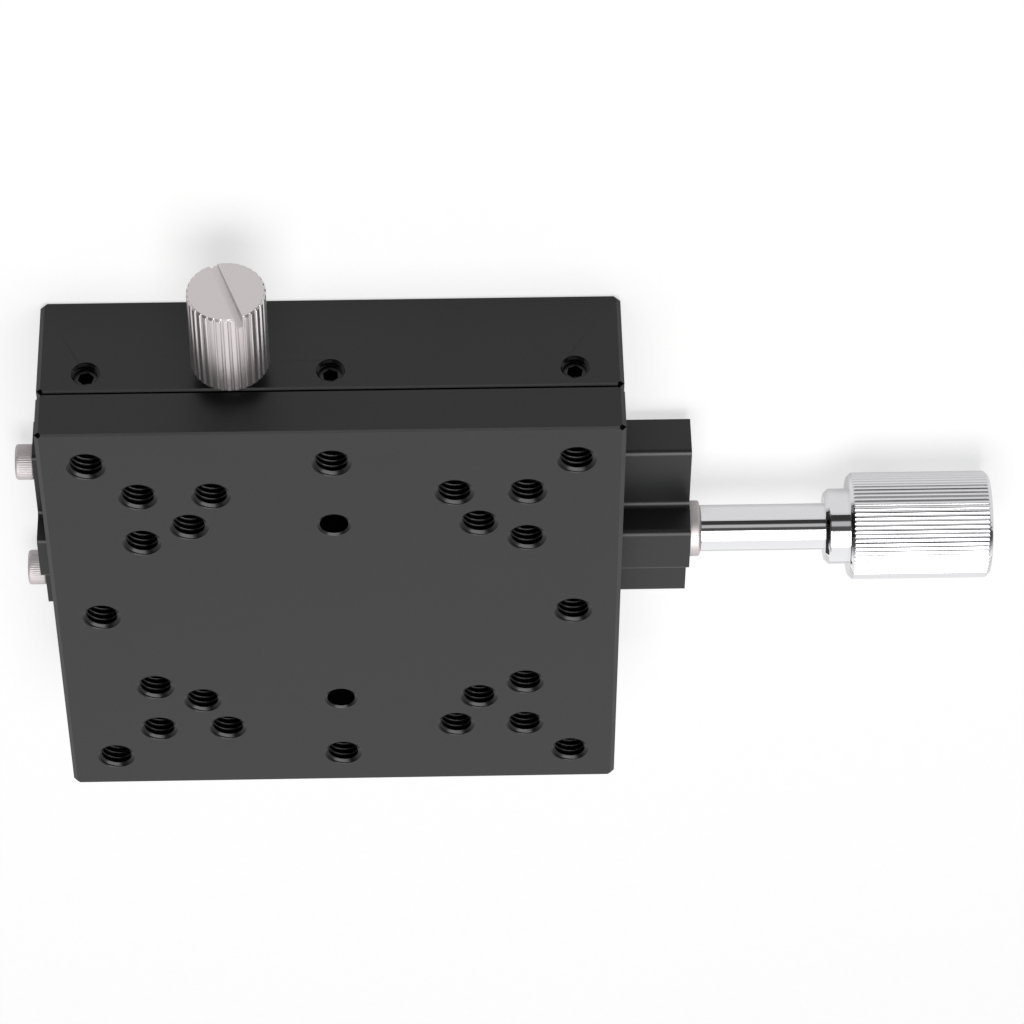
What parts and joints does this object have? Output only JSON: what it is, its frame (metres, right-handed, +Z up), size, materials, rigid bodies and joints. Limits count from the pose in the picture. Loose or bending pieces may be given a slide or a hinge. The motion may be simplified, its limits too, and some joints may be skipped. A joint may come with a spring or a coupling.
{
  "type": "dovetail slide",
  "caption": "Hand-driven dovetail slide: a square tapped table moved along a dovetailed base by a knurled knob on a lead screw, with a side thumb screw that locks it.",
  "frame": {"origin": "middle of the base's underside", "axes": "+X along the travel towards the knob, +Y across it towards the set screws and the lock screw, +Z up through the table"},
  "size_m": [0.1041, 0.0723, 0.018],
  "materials": {
    "black_anodised": "bead-blasted, black anodised, satin",
    "gib_brass": "milled",
    "nut_brass": "turned and milled",
    "bronze": "sintered, oiled",
    "black_oxide_steel": "black oxide",
    "stainless": "turned, satin",
    "ground_steel": "rolled thread, ground journals",
    "chrome_plate": "bright chrome plate"
  },
  "bodies": {
    "base": {"base": "black_anodised", "gib_strip": "gib_brass", "gib_set_screws": "black_oxide_steel", "bearing_block": "black_anodised", "bearing_block_screws": "stainless", "front_bush": "bronze", "inner_thrust_washer": "bronze", "outer_thrust_washer": "stainless", "rear_end_plate": "black_anodised", "rear_plate_screws": "stainless", "rear_bush": "bronze"},
    "table": {"table": "black_anodised", "lead_nut": "nut_brass", "lead_nut_screws": "stainless"},
    "lead_screw": {"lead_screw": "ground_steel", "travel_knob": "chrome_plate", "knob_grub_screw": "black_oxide_steel"},
    "lock_pad": {"lock_pad": "nut_brass"},
    "lock_screw": {"lock_thumb_screw": "stainless"}
  },
  "joints": [
    {"name": "lead_screw_turn", "type": "hinge", "parent": "base", "child": "lead_screw", "pos_m": [0, 0, 0.00705], "axis": [1, 0, 0], "range_deg": [-7200, 7200]},
    {"name": "table_slide", "type": "slide", "parent": "base", "child": "table", "axis": [1, 0, 0], "range_m": [-0.02, 0.02]},
    {"name": "lock_feed", "type": "slide", "parent": "base", "child": "lock_pad", "axis": [0, 1, 0], "range_m": [-0.00025, 0.001]},
    {"name": "lock_turn", "type": "hinge", "parent": "lock_pad", "child": "lock_screw", "pos_m": [-0.01015, 0.03, 0.0098], "axis": [0, 1, 0], "range_deg": [-180, 720]}
  ],
  "couplings": [
    {"joint": "lead_screw_turn", "follows": "table_slide", "rad_per_m": -6283.2},
    {"joint": "lock_turn", "follows": "lock_feed", "rad_per_m": 12566}
  ]
}
